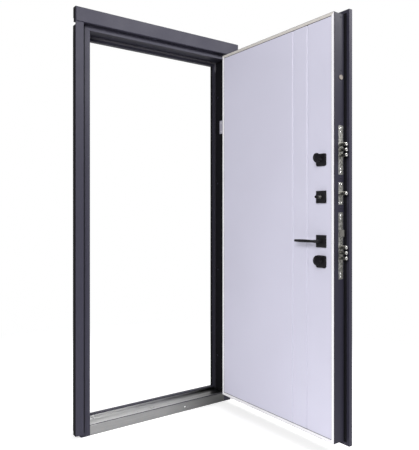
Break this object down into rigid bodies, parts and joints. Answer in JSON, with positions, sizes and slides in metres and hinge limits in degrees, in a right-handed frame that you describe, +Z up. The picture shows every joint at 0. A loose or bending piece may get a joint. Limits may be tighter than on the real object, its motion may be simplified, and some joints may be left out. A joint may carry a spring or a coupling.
{
  "type": "steel entrance door with frame",
  "caption": "Outward-opening steel security door with rebated frame, cased surround, stepped sill, grooved inner panel, lever handle, latch and thrown deadbolts",
  "frame": {"origin": "on the part of the top casing's back that lies on the wall's outer face, at the middle of its width and height", "axes": "+X to the right seen from outside (hinge side), +Y into the building, +Z up"},
  "size_m": [0.982, 0.998, 2.05],
  "materials": {
    "frame_paint": "matt powder coat",
    "leaf_paint": "matt powder coat",
    "sill_steel": "brushed",
    "seal_rubber": "matt",
    "plate_steel": "satin nickel",
    "bolt_steel": "polished",
    "panel_laminate": "silk film on board",
    "edge_trim": "silk",
    "black_metal": "matt black",
    "plug_plastic": "matt"
  },
  "bodies": {
    "frame": {"frame_hinge_knuckles": "frame_paint", "frame_seal": "seal_rubber", "head": "frame_paint", "hinge_casing": "frame_paint", "hinge_jamb": "frame_paint", "jamb_plate": "plate_steel", "lock_casing": "frame_paint", "lock_jamb": "frame_paint", "main_strike": "plate_steel", "night_strike": "plate_steel", "sill": "frame_paint", "sill_front_plate": "sill_steel", "sill_tread": "sill_steel", "top_casing": "frame_paint", "upper_strike": "plate_steel"},
    "leaf": {"bottom_trim": "edge_trim", "edge_plug": "plug_plastic", "hinge_trim": "edge_trim", "inner_panel": "panel_laminate", "leaf_body": "leaf_paint", "leaf_hinge_knuckles": "leaf_paint", "leaf_seal": "seal_rubber", "lever_rosette": "black_metal", "lock_trim": "edge_trim", "lower_key_rosette": "black_metal", "lower_rosette": "black_metal", "main_faceplate": "plate_steel", "night_faceplate": "plate_steel", "night_rosette": "black_metal", "outer_lever_rosette": "black_metal", "outer_skin": "leaf_paint", "top_trim": "edge_trim", "upper_faceplate": "plate_steel", "upper_key_rosette": "black_metal", "upper_rosette": "black_metal"},
    "lever": {"inner_lever": "black_metal", "outer_lever": "black_metal"},
    "latch": {"latch_bolt": "bolt_steel"},
    "upper_turn": {"upper_turn": "black_metal"},
    "upper_bolts": {"upper_bolts": "bolt_steel"},
    "night_knob": {"night_knob": "black_metal"},
    "night_bolt": {"night_bolt": "bolt_steel"},
    "main_turn": {"lower_turn": "black_metal"},
    "main_bolts": {"main_bolts": "bolt_steel"}
  },
  "joints": [
    {"name": "leaf_swing", "type": "hinge", "parent": "frame", "child": "leaf", "pos_m": [0.441, -0.028, -1.025], "axis": [0, 0, 1], "range_deg": [-90, 30]},
    {"name": "lever_turn", "type": "hinge", "parent": "leaf", "child": "lever", "pos_m": [0.355, -0.798, -1.076], "axis": [-1, 0, 0], "range_deg": [0, 40], "stiffness_Nm_per_rad": 2, "springref_deg": -28.65},
    {"name": "latch_slide", "type": "slide", "parent": "leaf", "child": "latch", "axis": [0, 1, 0], "range_m": [0, 0.014]},
    {"name": "upper_bolts_slide", "type": "slide", "parent": "leaf", "child": "upper_bolts", "axis": [0, 1, 0], "range_m": [0, 0.032]},
    {"name": "upper_turn_turn", "type": "hinge", "parent": "leaf", "child": "upper_turn", "pos_m": [0.355, -0.798, -0.714], "axis": [-1, 0, 0], "range_deg": [0, 90]},
    {"name": "night_bolt_slide", "type": "slide", "parent": "leaf", "child": "night_bolt", "axis": [0, 1, 0], "range_m": [0, 0.032]},
    {"name": "night_knob_turn", "type": "hinge", "parent": "leaf", "child": "night_knob", "pos_m": [0.355, -0.798, -0.879], "axis": [-1, 0, 0], "range_deg": [0, 90]},
    {"name": "main_bolts_slide", "type": "slide", "parent": "leaf", "child": "main_bolts", "axis": [0, 1, 0], "range_m": [0, 0.032]},
    {"name": "main_turn_turn", "type": "hinge", "parent": "leaf", "child": "main_turn", "pos_m": [0.355, -0.798, -1.167], "axis": [-1, 0, 0], "range_deg": [0, 90]}
  ],
  "couplings": [
    {"joint": "latch_slide", "follows": "lever_turn", "m_per_rad": 0.020053},
    {"joint": "upper_turn_turn", "follows": "upper_bolts_slide", "rad_per_m": 49.086},
    {"joint": "night_knob_turn", "follows": "night_bolt_slide", "rad_per_m": 49.086},
    {"joint": "main_turn_turn", "follows": "main_bolts_slide", "rad_per_m": 49.086}
  ]
}
